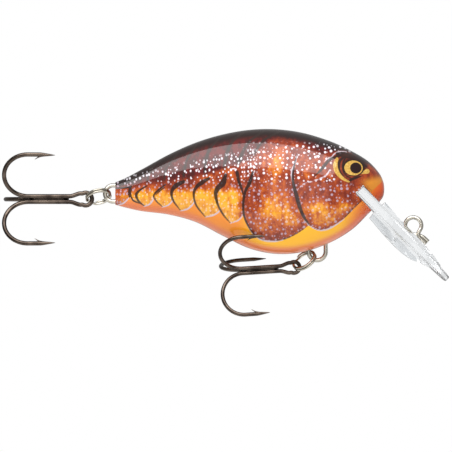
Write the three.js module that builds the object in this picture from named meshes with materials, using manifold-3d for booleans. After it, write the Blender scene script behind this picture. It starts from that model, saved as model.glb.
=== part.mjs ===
// A short-billed crankbait fishing lure, in millimetres: a two-half balsa body round a through wire, a clear
// diving lip with its line tie, a lead ballast, a rattle capsule, and two treble hooks on split rings.
// The model is laid out from the tail: +X towards the nose, +Y to the lure's left, +Z up, x = 0 at the tail
// face. The exported group then moves everything so that the line tie's eye is at the origin.
import * as THREE from "three";
import { mergeVertices } from "three/addons/utils/BufferGeometryUtils.js";
import Module from "manifold-3d";

const wasm = await Module();
wasm.setup();

// ---------------------------------------------------------------- driving dimensions
const GAP = 0.12; // clearance between pieces that are glued or pressed together
const SECTION_POWER = 2.2; // the body's section is a superellipse of this power
// The body's stations: x, height of the back, height of the belly, half width.
const BODY_STATIONS = [
  [0, 2.0, -2.2, 1.6],
  [2, 2.85, -2.75, 2.0],
  [5, 4.45, -3.4, 2.7],
  [10, 7.2, -4.05, 3.8],
  [15, 9.4, -5.45, 5.0],
  [20, 10.9, -8.0, 6.1],
  [25, 11.75, -10.35, 7.0],
  [30, 11.85, -11.35, 7.6],
  [35, 11.15, -10.95, 7.7],
  [40, 9.6, -9.2, 7.2],
  [44, 7.75, -6.8, 6.2],
  [47, 5.9, -3.9, 4.8],
  [49, 3.75, -1.75, 3.1],
  [49.8, 2.1, -0.6, 1.7],
  [50, 0.7, 0.7, 0],
];
const BODY_STEPS = 40;
const HALF_RING_STEPS = 18;

const LIP_ROOT = new THREE.Vector3(45.35, 0, 0.5); // middle of the lip's inner end
const LIP_ANGLE = 45.4; // degrees below level
const LIP_LENGTH = 23.3;
const LIP_THICKNESS = 1.9;
const LIP_TIP_THICKNESS = 1.1;
const LIP_ROOT_HALF_WIDTH = 5.9;
const LIP_HALF_WIDTH = 7.2;
const SPINE_WIDTH = 3.6; // the moulded rib along the lip's middle
const SPINE_START = 4.85;

const TIE_CENTRE = [11.7, 2.55]; // along the lip, above its middle plane
const TIE_LOOP_RADIUS = 1.5;
const TIE_WIRE_RADIUS = 0.33;
const TIE_SPREAD = 0.37; // half the sideways distance between its two tails

const HARNESS_RADIUS = 0.37;
const TAIL_LOOP = { x: -0.44, z: -0.1, radius: 1.5 };
const BELLY_LOOP = { x: 37.5, z: -10.9, radius: 1.6 };
const HARNESS_FRONT_X = 41.5;
const HARNESS_ELBOW = 2.5;
const BELLY_LEG_TOP = -4.5;

const BALLAST = { x: 29.0, z: -6.9, radius: 3.0, length: 8 };
const RATTLE = { x: 20, z: 5.9, radius: 1.75, bore: 1.2, length: 10.4, plug: 1.0 };
const BALL_RADIUS = 1.0;
const BALL_COUNT = 3;
const BALL_SPACING = 2.1;

const RING_RADIUS = 2.2; // split ring, to the middle of its wire
const RING_WIDTH = 0.5;
const RING_WIRE = 0.36;
const RING_LAYER = 0.44; // between the middles of its two turns
const RING_TILT = 30; // degrees each ring leans about its line of pull

const HOOK_RADIUS = 0.41; // hook wire
const HOOK_BEND_RADIUS = 4.45;
const HOOK_BEND_START = 11.8; // from the end of the eye to the start of the bend
const HOOK_POINT_LENGTH = 5.1;
const HOOK_EYE_LENGTH = 3.3;
const HOOK_EYE_HALF_WIDTH = 1.6;
const SHANK_OFFSET = 0.6; // from the treble's axis to each shank's middle

const LINK_PLAY = 0.3; // free space where one wire hangs in another
const TAIL_RING_FALL = 12; // degrees that each ring's line of pull drops towards the tail
const BELLY_RING_FALL = 35;
const TAIL_SHANK_FALL = 0;
const BELLY_SHANK_FALL = 3.6;
const TAIL_HOOK_SIZE = 1;
const BELLY_HOOK_SIZE = 0.9;
const TAIL_SINGLE_LEAN = 90; // degrees from straight down to each single hook, turning to the left
const BELLY_SINGLE_LEAN = 103;

// ---------------------------------------------------------------- general helpers
const degrees = THREE.MathUtils.degToRad;

// A closed mesh as a manifold-3d solid.
function solidOf(geometry) {
  const bare = new THREE.BufferGeometry();
  bare.setAttribute("position", geometry.getAttribute("position"));
  if (geometry.index) bare.setIndex(geometry.index);
  const merged = mergeVertices(bare, 1e-4);
  const triVerts = new Uint32Array(merged.index.array);
  const vertProperties = merged.attributes.position.array;
  return new wasm.Manifold(new wasm.Mesh({ numProp: 3, vertProperties, triVerts }));
}

function geometryOf(solid) {
  const mesh = solid.getMesh();
  const geometry = new THREE.BufferGeometry();
  const points = new Float32Array(mesh.numVert * 3);
  for (let i = 0; i < mesh.numVert; i++)
    points.set(mesh.vertProperties.subarray(i * mesh.numProp, i * mesh.numProp + 3), i * 3);
  geometry.setAttribute("position", new THREE.BufferAttribute(points, 3));
  geometry.setIndex(new THREE.BufferAttribute(new Uint32Array(mesh.triVerts), 1));
  geometry.computeVertexNormals();
  return geometry;
}

// Closed skin over a stack of rings of equal point count: walls between neighbours and a fan at each end.
function skin(rings) {
  const sides = rings[0].length;
  const points = [];
  const faces = [];
  rings.forEach((ring) => ring.forEach((p) => points.push(p.x, p.y, p.z)));
  for (let i = 0; i + 1 < rings.length; i++)
    for (let j = 0; j < sides; j++) {
      const a = i * sides + j;
      const b = i * sides + ((j + 1) % sides);
      faces.push(a, b, b + sides, a, b + sides, a + sides);
    }
  for (let end = 0; end < 2; end++) {
    const ring = rings[end ? rings.length - 1 : 0];
    const start = end ? (rings.length - 1) * sides : 0;
    const centre = ring.reduce((sum, p) => sum.add(p), new THREE.Vector3()).divideScalar(sides);
    const hub = points.length / 3;
    points.push(centre.x, centre.y, centre.z);
    for (let j = 0; j < sides; j++) {
      const a = start + j;
      const b = start + ((j + 1) % sides);
      if (end) faces.push(a, b, hub);
      else faces.push(b, a, hub);
    }
  }
  const geometry = new THREE.BufferGeometry();
  geometry.setAttribute("position", new THREE.Float32BufferAttribute(points, 3));
  geometry.setIndex(faces);
  return geometry;
}

// A section, as points [across, up], carried along a line of points. Its first "up" is given, and it turns
// with the line without twisting. scaleAt(i) shrinks the section along the line.
function sweep(line, section, firstUp, scaleAt = () => 1) {
  const up = firstUp.clone();
  const rings = line.map((point, i) => {
    const before = line[Math.max(i - 1, 0)];
    const after = line[Math.min(i + 1, line.length - 1)];
    const along = after.clone().sub(before).normalize();
    up.addScaledVector(along, -up.dot(along)).normalize();
    const across = up.clone().cross(along);
    return section.map(([a, b]) =>
      point.clone().addScaledVector(across, a * scaleAt(i)).addScaledVector(up, b * scaleAt(i)));
  });
  return skin(rings);
}

function circle(radius, sides) {
  return Array.from({ length: sides }, (_, i) => {
    const angle = (2 * Math.PI * (i + 0.5)) / sides;
    return [radius * Math.cos(angle), radius * Math.sin(angle)];
  });
}

// Points [a, b] on an arc, from one angle to another in degrees, both ends included.
function arc(a, b, radius, from, to, steps) {
  return Array.from({ length: steps + 1 }, (_, i) => {
    const angle = degrees(from + ((to - from) * i) / steps);
    return [a + radius * Math.cos(angle), b + radius * Math.sin(angle)];
  });
}

const inPlane = ([x, z]) => new THREE.Vector3(x, 0, z);

// ---------------------------------------------------------------- body
const backLine = new THREE.SplineCurve(BODY_STATIONS.map(([x, back]) => new THREE.Vector2(x, back)));
const bellyLine = new THREE.SplineCurve(BODY_STATIONS.map(([x, , belly]) => new THREE.Vector2(x, belly)));
const sideLine = new THREE.SplineCurve(BODY_STATIONS.map(([x, , , side]) => new THREE.Vector2(x, side)));

// Half of the body's section at t from 0 at the tail to 1 at the nose, from the belly up to the back. The
// first and last points lie on the parting plane, and the flat face between them closes the half.
function halfSection(t, side) {
  const back = backLine.getPoint(t);
  const belly = bellyLine.getPoint(t);
  const halfWidth = Math.max(sideLine.getPoint(t).y, 0);
  const middle = (back.y + belly.y) / 2;
  const halfHeight = Math.max((back.y - belly.y) / 2, 0);
  return Array.from({ length: HALF_RING_STEPS + 1 }, (_, i) => {
    const angle = Math.PI * (i / HALF_RING_STEPS - 0.5);
    const out = i % HALF_RING_STEPS === 0 ? 0 : Math.cos(angle) ** (2 / SECTION_POWER);
    const up = Math.sign(Math.sin(angle)) * Math.abs(Math.sin(angle)) ** (2 / SECTION_POWER);
    return new THREE.Vector3(back.x, side * halfWidth * out, middle + halfHeight * up);
  });
}

function bodyHalf(side) {
  const rings = [];
  for (let i = 0; i < BODY_STEPS; i++) {
    const ring = halfSection(1 - (1 - i / BODY_STEPS) ** 1.15, side);
    rings.push(side < 0 ? ring.reverse() : ring);
  }
  rings.push(rings[0].map(() => new THREE.Vector3(...[50, 0, BODY_STATIONS.at(-1)[1]])));
  return solidOf(skin(rings));
}

// ---------------------------------------------------------------- lip and line tie
const lipFall = degrees(LIP_ANGLE);
const lipAlong = new THREE.Vector3(Math.cos(lipFall), 0, -Math.sin(lipFall));
const lipUp = new THREE.Vector3(Math.sin(lipFall), 0, Math.cos(lipFall));

// A point of the lip's own frame: along the lip from its inner end, to the left, and above its middle plane.
const onLip = (along, left, above) =>
  LIP_ROOT.clone().addScaledVector(lipAlong, along).addScaledVector(lipUp, above).setY(left);

// Geometry drawn with x along the lip, y to the left and z above it, moved to where the lip is.
function placeOnLip(geometry) {
  const basis = new THREE.Matrix4().makeBasis(lipAlong, new THREE.Vector3(0, 1, 0), lipUp);
  return geometry.applyMatrix4(basis.setPosition(LIP_ROOT));
}

function lipBlade(grow = 0) {
  const outline = new THREE.Shape();
  const root = LIP_ROOT_HALF_WIDTH + grow;
  outline.moveTo(-grow, -root);
  outline.lineTo(7, -root);
  outline.bezierCurveTo(10, -root, 12, -LIP_HALF_WIDTH, 16, -LIP_HALF_WIDTH);
  outline.bezierCurveTo(21, -LIP_HALF_WIDTH, LIP_LENGTH, -4.2, LIP_LENGTH, 0);
  outline.bezierCurveTo(LIP_LENGTH, 4.2, 21, LIP_HALF_WIDTH, 16, LIP_HALF_WIDTH);
  outline.bezierCurveTo(12, LIP_HALF_WIDTH, 10, root, 7, root);
  outline.lineTo(-grow, root);
  const depth = LIP_THICKNESS + 2 * grow;
  const blade = new THREE.ExtrudeGeometry(outline, { depth, bevelEnabled: false, curveSegments: 10 });
  blade.translate(0, 0, -depth / 2);
  const place = blade.getAttribute("position");
  const thinFrom = 12;
  for (let i = 0; i < place.count; i++) {
    const share = Math.max(0, (place.getX(i) - thinFrom) / (LIP_LENGTH - thinFrom));
    const thin = 1 - share * (1 - LIP_TIP_THICKNESS / LIP_THICKNESS);
    place.setZ(i, place.getZ(i) * thin);
  }
  return solidOf(placeOnLip(blade));
}

function lipSpine() {
  const side = new THREE.Shape();
  side.moveTo(SPINE_START, -2.3);
  side.quadraticCurveTo(11, -2.9, 14, -2.6);
  side.quadraticCurveTo(16, -2.2, 17.6, -1.35);
  side.lineTo(20, -0.6);
  side.lineTo(21.5, 0);
  side.lineTo(20.5, 1.05);
  side.quadraticCurveTo(17, 1.6, 13, 1.6);
  side.lineTo(9, 1.6);
  side.lineTo(SPINE_START, 1.9);
  const bevel = 0.5;
  const depth = SPINE_WIDTH - 2 * bevel;
  const options = { depth, bevelSize: 0.35, bevelOffset: -0.35, bevelThickness: bevel, bevelSegments: 2 };
  const spine = new THREE.ExtrudeGeometry(side, { ...options, curveSegments: 5 });
  spine.translate(0, 0, -depth / 2);
  spine.rotateX(Math.PI / 2);
  return solidOf(placeOnLip(spine));
}

// The tie is one wire: a tail, back under the loop, round it, and out to the other tail.
function tieLine() {
  const [along, above] = TIE_CENTRE;
  const turn = arc(along, above, TIE_LOOP_RADIUS, -75, -350, 26);
  const last = turn.length - 1;
  return [
    onLip(along + 4.1, TIE_SPREAD, above - 0.15),
    onLip(along + 3.0, TIE_SPREAD, above - 0.2),
    onLip(along + 2.0, TIE_SPREAD, above - 0.6),
    onLip(along + 1.2, TIE_SPREAD, above - 1.15),
    ...turn.map(([a, b], i) => onLip(a, TIE_SPREAD * (1 - (2 * i) / last), b)),
    onLip(along + 1.7, -TIE_SPREAD, above - 0.35),
    onLip(along + 2.3, -TIE_SPREAD, above - 0.7),
    onLip(along + 3.2, -TIE_SPREAD, above - 0.78),
    onLip(along + 4.1, -TIE_SPREAD, above - 0.78),
  ];
}

const lineTie = (grow = 0) => sweep(tieLine(), circle(TIE_WIRE_RADIUS + grow, 8), new THREE.Vector3(0, 1, 0));

const divingLip = () => lipBlade().add(lipSpine()).subtract(solidOf(lineTie(GAP)));

// ---------------------------------------------------------------- through wire
// One wire: from the nose back over the body's axis, round the tail loop, forward again, down to the belly
// loop and back up into the body.
function harnessLine() {
  const tail = TAIL_LOOP;
  const belly = BELLY_LOOP;
  const elbowX = belly.x - belly.radius - HARNESS_ELBOW;
  const lowRun = tail.z - tail.radius;
  return [
    [HARNESS_FRONT_X, tail.z + tail.radius],
    [20, tail.z + tail.radius],
    ...arc(tail.x, tail.z, tail.radius, 90, 270, 14),
    [15, lowRun],
    ...arc(elbowX, lowRun - HARNESS_ELBOW, HARNESS_ELBOW, 90, 0, 5),
    ...arc(belly.x, belly.z, belly.radius, 180, 360, 14),
    [belly.x + belly.radius, BELLY_LEG_TOP],
  ].map(inPlane);
}

const harness = (grow = 0) => sweep(harnessLine(), circle(HARNESS_RADIUS + grow, 8), new THREE.Vector3(0, 1, 0));

// ---------------------------------------------------------------- ballast and rattle
// A turned solid about the X axis, from a profile of [x, radius] that starts and ends on the axis.
function turned(profile, x, z, sides) {
  const points = profile.map(([along, radius]) => new THREE.Vector2(radius, along));
  const geometry = new THREE.LatheGeometry(points, sides);
  return geometry.rotateZ(-Math.PI / 2).translate(x, 0, z);
}

function ballast(grow = 0) {
  const end = BALLAST.length / 2 + grow;
  const radius = BALLAST.radius + grow;
  const profile = [[-end, 0], [-end, radius - 1], [-end + 1, radius], [end - 1, radius], [end, radius - 1], [end, 0]];
  return turned(profile, BALLAST.x, BALLAST.z, 20);
}

function rattlePocket() {
  const end = RATTLE.length / 2 + GAP;
  const radius = RATTLE.radius + GAP;
  return turned([[-end, 0], [-end, radius], [end, radius], [end, 0]], RATTLE.x, RATTLE.z, 20);
}

function rattleTube() {
  const end = RATTLE.length / 2;
  const { radius, bore } = RATTLE;
  const wall = [[-end, bore], [-end, radius], [end, radius], [end, bore], [-end, bore]];
  return turned(wall, RATTLE.x, RATTLE.z, 20);
}

function rattlePlug(end) {
  const radius = RATTLE.bore - GAP / 2;
  const half = RATTLE.plug / 2;
  const x = RATTLE.x + end * (RATTLE.length / 2 - half);
  return turned([[-half, 0], [-half, radius], [half, radius], [half, 0]], x, RATTLE.z, 16);
}

// The balls lie together against the rear plug, on the floor of the bore.
function rattleBall(index) {
  const rear = RATTLE.x - RATTLE.length / 2 + RATTLE.plug;
  const x = rear + 0.05 + BALL_RADIUS + index * BALL_SPACING;
  const z = RATTLE.z - (RATTLE.bore - BALL_RADIUS) + 0.06;
  return new THREE.SphereGeometry(BALL_RADIUS, 12, 8).translate(x, 0, z);
}

// ---------------------------------------------------------------- split rings
// A flat wire wound nearly twice round. It climbs from one layer to the other just before it passes its own
// start. near is where its wire hangs in the loop, pull points from there to the far side, and across is the
// wire's own direction at near.
function splitRing(near, pull, across) {
  const centre = near.clone().addScaledVector(pull, RING_RADIUS);
  const axis = pull.clone().cross(across).normalize();
  const start = 70;
  const climb = [315, 365];
  const turn = 670;
  const steps = 46;
  const half = RING_LAYER / 2;
  const section = [[-1, 0.7], [-0.7, 1], [0.7, 1], [1, 0.7], [1, -0.7], [0.7, -1], [-0.7, -1], [-1, -0.7]];
  const rings = Array.from({ length: steps + 1 }, (_, i) => {
    const wound = (turn * i) / steps;
    const rise = THREE.MathUtils.smoothstep(wound, ...climb) * 2 - 1;
    const angle = degrees(start + wound);
    const out = pull.clone().multiplyScalar(Math.cos(angle)).addScaledVector(across, Math.sin(angle));
    return section.map(([a, b]) =>
      centre
        .clone()
        .addScaledVector(out, RING_RADIUS + (a * RING_WIDTH) / 2)
        .addScaledVector(axis, half * rise + (b * RING_WIRE) / 2));
  });
  return skin(rings);
}

// ---------------------------------------------------------------- treble hooks
// Each treble is a double hook, bent from one wire with the eye in its middle, and a single hook brazed into
// the groove between its shanks. A treble is drawn with its eye's end at the origin, x along the shank to the
// bend, and the single hook pointing to -z.
const hookWay = (angle) => new THREE.Vector3(0, Math.sin(degrees(angle)), -Math.cos(degrees(angle)));

// The line of one hook from its shank round the bend to its point, in the plane of the shank and its way.
function hookLine(way) {
  const start = HOOK_BEND_START;
  const reach = SHANK_OFFSET + 2 * HOOK_BEND_RADIUS;
  const bend = arc(start, SHANK_OFFSET + HOOK_BEND_RADIUS, HOOK_BEND_RADIUS, -90, 90, 16);
  const point = [[start - 2.2, reach - 0.02], [start - 3.6, reach - 0.08], [start - HOOK_POINT_LENGTH, reach - 0.15]];
  return [...bend, ...point].map(([a, b]) => way.clone().multiplyScalar(b).setX(a));
}

// How thick the hook wire is towards its point, counted in places from the end of the line.
const pointTaper = (fromEnd) => (fromEnd === 0 ? 0.08 : fromEnd === 1 ? 0.72 : 1);

// The barb is a small cone under the point, cut up from the wire towards the bend.
function barb(way) {
  const root = way.clone().multiplyScalar(SHANK_OFFSET + 2 * HOOK_BEND_RADIUS - 0.25).setX(HOOK_BEND_START - 2.4);
  const tip = way.clone().multiplyScalar(SHANK_OFFSET + 2 * HOOK_BEND_RADIUS - 0.95).setX(HOOK_BEND_START - 0.9);
  const line = [root, root.clone().lerp(tip, 0.5), tip];
  return solidOf(sweep(line, circle(0.22, 5), new THREE.Vector3(0, 1, 0.3), (i) => [1, 0.75, 0.12][i]));
}

function doubleHook() {
  const left = hookWay(120);
  const right = hookWay(-120);
  const eyeSide = new THREE.Vector3(0, 1, 0);
  const shankY = left.y * SHANK_OFFSET;
  const shankZ = left.z * SHANK_OFFSET;
  const eyeRadius = HOOK_EYE_HALF_WIDTH - HOOK_RADIUS;
  const eye = [
    [HOOK_EYE_LENGTH + 1.2, shankY],
    [HOOK_EYE_LENGTH + 0.4, shankY + 0.06],
    [HOOK_EYE_LENGTH - 0.9, eyeRadius * 0.86],
    ...arc(eyeRadius, 0, eyeRadius, 60, 300, 14),
    [HOOK_EYE_LENGTH - 0.9, -eyeRadius * 0.86],
    [HOOK_EYE_LENGTH + 0.4, -shankY - 0.06],
    [HOOK_EYE_LENGTH + 1.2, -shankY],
  ].map(([a, b]) => eyeSide.clone().multiplyScalar(b).setX(a).setZ(shankZ * Math.min(1, a / HOOK_EYE_LENGTH)));
  const leftLine = hookLine(left).reverse();
  const rightLine = hookLine(right);
  const line = [...leftLine, ...eye, ...rightLine];
  const taper = (i) => Math.min(pointTaper(i), pointTaper(line.length - 1 - i));
  const wire = solidOf(sweep(line, circle(HOOK_RADIUS, 8), left.clone().cross(new THREE.Vector3(1, 0, 0)), taper));
  return wire.add(barb(left)).add(barb(right));
}

function singleHook() {
  const way = hookWay(0);
  const shank = [way.clone().multiplyScalar(SHANK_OFFSET).setX(HOOK_EYE_LENGTH + 1.0)];
  const line = [...shank, ...hookLine(way)];
  const taper = (i) => (i === 0 ? 0.7 : pointTaper(line.length - 1 - i));
  return solidOf(sweep(line, circle(HOOK_RADIUS, 8), new THREE.Vector3(0, 1, 0), taper)).add(barb(way));
}

// A direction towards the tail, dropping by some degrees.
const rearwards = (fall) => new THREE.Vector3(-Math.cos(degrees(fall)), 0, -Math.sin(degrees(fall)));

// Moves a treble from its own frame: the eye's end to a place, x to the shank's direction, and -z to the single
// hook's way, which leans to the left of straight down.
function placeTreble(solid, place, shank, singleLean, size) {
  const x = shank.clone();
  const way = new THREE.Vector3(0, Math.sin(degrees(singleLean)), -Math.cos(degrees(singleLean)));
  const z = way.addScaledVector(x, -way.dot(x)).normalize().negate();
  const y = z.clone().cross(x);
  const placed = new THREE.Matrix4().makeBasis(x, y, z).scale(new THREE.Vector3(size, size, size));
  return geometryOf(solid).applyMatrix4(placed.setPosition(place));
}

// ---------------------------------------------------------------- assembly
const FINISHES = {
  paint: { color: 0x8a3a12, roughness: 0.18, metalness: 0.0 },
  clear: { color: 0xe6eaee, roughness: 0.05, metalness: 0.0 },
  steel: { color: 0xb9b5ad, roughness: 0.25, metalness: 1.0 },
  blackNickel: { color: 0x4a423f, roughness: 0.28, metalness: 1.0 },
  lead: { color: 0x6f7276, roughness: 0.6, metalness: 0.8 },
  capsule: { color: 0xd9d4c6, roughness: 0.3, metalness: 0.0 },
};

const lure = new THREE.Group();

function addPiece(name, geometry, finish) {
  const mesh = new THREE.Mesh(geometry, new THREE.MeshStandardMaterial(FINISHES[finish]));
  mesh.name = name;
  lure.add(mesh);
}

// Body halves, with the lip slot, wire channel, ballast pocket and rattle pocket cut out of both.
const hollows = lipBlade(GAP).add(solidOf(harness(GAP))).add(solidOf(ballast(GAP))).add(solidOf(rattlePocket()));
addPiece("body_left_half", geometryOf(bodyHalf(1).subtract(hollows)), "paint");
addPiece("body_right_half", geometryOf(bodyHalf(-1).subtract(hollows)), "paint");

addPiece("diving_lip", geometryOf(divingLip()), "clear");
addPiece("line_tie", lineTie(), "steel");
addPiece("wire_harness", harness(), "steel");
addPiece("ballast_weight", ballast(), "lead");
addPiece("rattle_tube", rattleTube(), "capsule");
addPiece("rattle_plug_front", rattlePlug(1), "capsule");
addPiece("rattle_plug_rear", rattlePlug(-1), "capsule");
for (let i = 0; i < BALL_COUNT; i++) addPiece(`rattle_ball_${i + 1}`, rattleBall(i), "steel");

// A ring hung in a wire loop and the treble hung in the ring. Both lines of pull drop towards the tail by
// their falls, ringLean turns the ring about its line, and singleLean turns the treble.
function hang(prefix, loop, ringFall, ringLean, shankFall, size, singleLean) {
  const pull = rearwards(ringFall);
  const across = new THREE.Vector3(0, 1, 0).applyAxisAngle(pull, degrees(ringLean));
  const reach = loop.radius - HARNESS_RADIUS - LINK_PLAY - RING_WIDTH / 2;
  const near = new THREE.Vector3(loop.x, 0, loop.z).addScaledVector(pull, reach);
  const slack = RING_WIDTH / 2 + LINK_PLAY + HOOK_RADIUS * size;
  const shank = rearwards(shankFall);
  const eyeEnd = near.clone().addScaledVector(pull, 2 * RING_RADIUS).addScaledVector(shank, -slack);
  addPiece(`${prefix}_split_ring`, splitRing(near, pull, across), "steel");
  addPiece(`${prefix}_double_hook`, placeTreble(doubleHook(), eyeEnd, shank, singleLean, size), "blackNickel");
  addPiece(`${prefix}_single_hook`, placeTreble(singleHook(), eyeEnd, shank, singleLean, size), "blackNickel");
}

hang("tail", TAIL_LOOP, TAIL_RING_FALL, RING_TILT, TAIL_SHANK_FALL, TAIL_HOOK_SIZE, TAIL_SINGLE_LEAN);
hang("belly", BELLY_LOOP, BELLY_RING_FALL, -RING_TILT, BELLY_SHANK_FALL, BELLY_HOOK_SIZE, BELLY_SINGLE_LEAN);

const eyeCentre = onLip(TIE_CENTRE[0], 0, TIE_CENTRE[1]);
lure.position.set(-eyeCentre.x, 0, -eyeCentre.z);

export default lure;
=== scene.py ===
"""A short-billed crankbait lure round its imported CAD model: painted body, clear lip, bright wire and rings,
and black-nickel treble hooks. Lengths are in millimetres from the tail until put() moves them to the row
frame, whose origin is the line tie's eye."""
import math

import bmesh
import bpy
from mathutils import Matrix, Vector
import numpy as np


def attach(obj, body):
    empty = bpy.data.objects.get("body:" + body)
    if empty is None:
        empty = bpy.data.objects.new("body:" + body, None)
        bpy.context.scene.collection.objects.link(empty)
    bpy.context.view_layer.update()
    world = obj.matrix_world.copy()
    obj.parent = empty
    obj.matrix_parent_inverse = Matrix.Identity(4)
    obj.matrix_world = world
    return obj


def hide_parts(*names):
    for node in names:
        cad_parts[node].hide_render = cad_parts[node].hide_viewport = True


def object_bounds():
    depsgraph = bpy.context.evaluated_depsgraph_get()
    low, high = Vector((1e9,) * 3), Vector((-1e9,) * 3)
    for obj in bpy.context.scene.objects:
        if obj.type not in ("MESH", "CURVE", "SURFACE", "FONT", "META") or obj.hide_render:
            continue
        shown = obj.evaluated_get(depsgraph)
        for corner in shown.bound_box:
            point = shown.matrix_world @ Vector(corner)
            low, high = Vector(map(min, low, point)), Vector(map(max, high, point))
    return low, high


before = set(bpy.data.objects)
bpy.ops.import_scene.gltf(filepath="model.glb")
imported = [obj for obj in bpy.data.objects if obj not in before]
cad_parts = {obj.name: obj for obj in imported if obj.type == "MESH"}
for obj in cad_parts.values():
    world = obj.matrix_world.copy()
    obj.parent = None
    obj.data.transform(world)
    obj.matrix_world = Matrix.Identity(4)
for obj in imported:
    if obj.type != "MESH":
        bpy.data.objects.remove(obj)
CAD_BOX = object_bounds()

# ---------------------------------------------------------------- sizes, as in the CAD model
SECTION_POWER = 2.2
BODY_STATIONS = np.array([
    (0, 2.0, -2.2, 1.6),
    (2, 2.85, -2.75, 2.0),
    (5, 4.45, -3.4, 2.7),
    (10, 7.2, -4.05, 3.8),
    (15, 9.4, -5.45, 5.0),
    (20, 10.9, -8.0, 6.1),
    (25, 11.75, -10.35, 7.0),
    (30, 11.85, -11.35, 7.6),
    (35, 11.15, -10.95, 7.7),
    (40, 9.6, -9.2, 7.2),
    (44, 7.75, -6.8, 6.2),
    (47, 5.9, -3.9, 4.8),
    (49, 3.75, -1.75, 3.1),
    (49.8, 2.1, -0.6, 1.7),
    (50, 0.7, 0.7, 0),
])
LIP_ROOT = np.array([45.35, 0, 0.5])
LIP_ANGLE = math.radians(45.4)
LIP_LENGTH = 23.3
LIP_THICKNESS = 1.9
LIP_TIP_THICKNESS = 1.1
LIP_ROOT_HALF_WIDTH = 5.9
LIP_HALF_WIDTH = 7.2
TIE_CENTRE = (11.7, 2.55)
TIE_LOOP_RADIUS = 1.5
TIE_WIRE_RADIUS = 0.38
TIE_SPREAD = 0.37
HARNESS_RADIUS = 0.4
HARNESS_ELBOW = 2.5
TAIL_LOOP = (-0.44, -0.1, 1.5)
BELLY_LOOP = (37.5, -10.9, 1.6)
RING_RADIUS = 2.2
RING_WIDTH = 0.5
RING_WIRE = 0.36
RING_LAYER = 0.44
RING_TILT = 30
HOOK_RADIUS = 0.41
HOOK_BEND_RADIUS = 4.45
HOOK_BEND_START = 11.8
HOOK_POINT_LENGTH = 5.1
HOOK_EYE_LENGTH = 3.3
HOOK_EYE_HALF_WIDTH = 1.6
HOOK_POINT_TAPER = 2.6
SHANK_OFFSET = 0.6

# room left round what the body is cut for
SLOT_CLEARANCE = 0.1
SLOT_LENGTH = 12
SLOT_SIDE_REACH = 9
CHANNEL_CLEARANCE = 0.06

# where a ring and a treble hang in their loops: the hanger wire's radius, half the ring's width, and the play
HANGER_WIRE = 0.37
RING_HALF_WIDTH = 0.25
HANGING_PLAY = 0.3

LIP_ALONG = np.array([math.cos(LIP_ANGLE), 0, -math.sin(LIP_ANGLE)])
LIP_UP = np.array([math.sin(LIP_ANGLE), 0, math.cos(LIP_ANGLE)])
EYE_CENTRE = LIP_ROOT + TIE_CENTRE[0] * LIP_ALONG + TIE_CENTRE[1] * LIP_UP


# ---------------------------------------------------------------- geometry helpers
def put(points):
    """Millimetres from the tail to metres in the row frame."""
    return (np.asarray(points, float) - EYE_CENTRE) / 1000


def unit(v):
    v = np.asarray(v, float)
    return v / np.linalg.norm(v)


def turned(v, axis, degrees):
    """v turned about a unit axis."""
    a = math.radians(degrees)
    return v * math.cos(a) + np.cross(axis, v) * math.sin(a) + axis * np.dot(axis, v) * (1 - math.cos(a))


def curve(points, steps):
    """A uniform Catmull-Rom curve through points, at steps + 1 places."""
    p = np.asarray(points, float)
    n = len(p)
    at = np.linspace(0, n - 1, steps + 1)
    i = np.minimum(at.astype(int), n - 2)
    w = (at - i)[:, None]
    a, b, c, d = p[np.maximum(i - 1, 0)], p[i], p[i + 1], p[np.minimum(i + 2, n - 1)]
    v0, v1 = (c - a) / 2, (d - b) / 2
    return (2 * b - 2 * c + v0 + v1) * w**3 + (3 * c - 3 * b - 2 * v0 - v1) * w**2 + v0 * w + b


def on_lip(along, left, above):
    """A point placed from the lip's inner end: along it, to the left and above its middle plane."""
    return LIP_ROOT + along * LIP_ALONG + above * LIP_UP + np.array([0, left, 0])


def arc(a, b, radius, start, stop, steps):
    t = np.radians(np.linspace(start, stop, steps + 1))
    return np.column_stack([a + radius * np.cos(t), b + radius * np.sin(t)])


def make_object(name, points, faces, smooth=True):
    """A mesh object from points in millimetres, with its faces turned outward."""
    mesh = bpy.data.meshes.new(name)
    mesh.from_pydata([tuple(p) for p in put(points)], [], faces)
    mesh.validate()
    outward = bmesh.new()
    outward.from_mesh(mesh)
    bmesh.ops.recalc_face_normals(outward, faces=outward.faces)
    outward.to_mesh(mesh)
    outward.free()
    mesh.polygons.foreach_set("use_smooth", [smooth] * len(mesh.polygons))
    obj = bpy.data.objects.new(name, mesh)
    bpy.context.scene.collection.objects.link(obj)
    return obj


def skin_faces(rings, sides, start=0, capped=True):
    """Quads between rings of equal count, with an n-gon on each end."""
    faces = []
    for i in range(rings - 1):
        a = start + i * sides
        for j in range(sides):
            k = (j + 1) % sides
            faces.append((a + j, a + k, a + sides + k, a + sides + j))
    if capped:
        faces.append(tuple(start + j for j in reversed(range(sides))))
        faces.append(tuple(start + (rings - 1) * sides + j for j in range(sides)))
    return faces


def sweep(line, first_up, radius, sides=20):
    """Points and faces of a round wire along a line; radius is one number or one for each place."""
    line = np.asarray(line, float)
    radius = np.broadcast_to(np.asarray(radius, float), len(line))
    up = unit(first_up)
    around = 2 * np.pi * np.arange(sides) / sides
    points = []
    for i, p in enumerate(line):
        along = unit(line[min(i + 1, len(line) - 1)] - line[max(i - 1, 0)])
        up = unit(up - along * np.dot(up, along))
        across = np.cross(up, along)
        points.append(p + radius[i] * (np.outer(np.cos(around), across) + np.outer(np.sin(around), up)))
    return np.concatenate(points), skin_faces(len(line), sides)


def resample(line, spacing):
    """The same line at even spacing."""
    line = np.asarray(line, float)
    length = np.concatenate([[0], np.cumsum(np.linalg.norm(np.diff(line, axis=0), axis=1))])
    at = np.linspace(0, length[-1], int(length[-1] / spacing) + 2)
    return np.column_stack([np.interp(at, length, line[:, k]) for k in range(3)]), at


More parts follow.
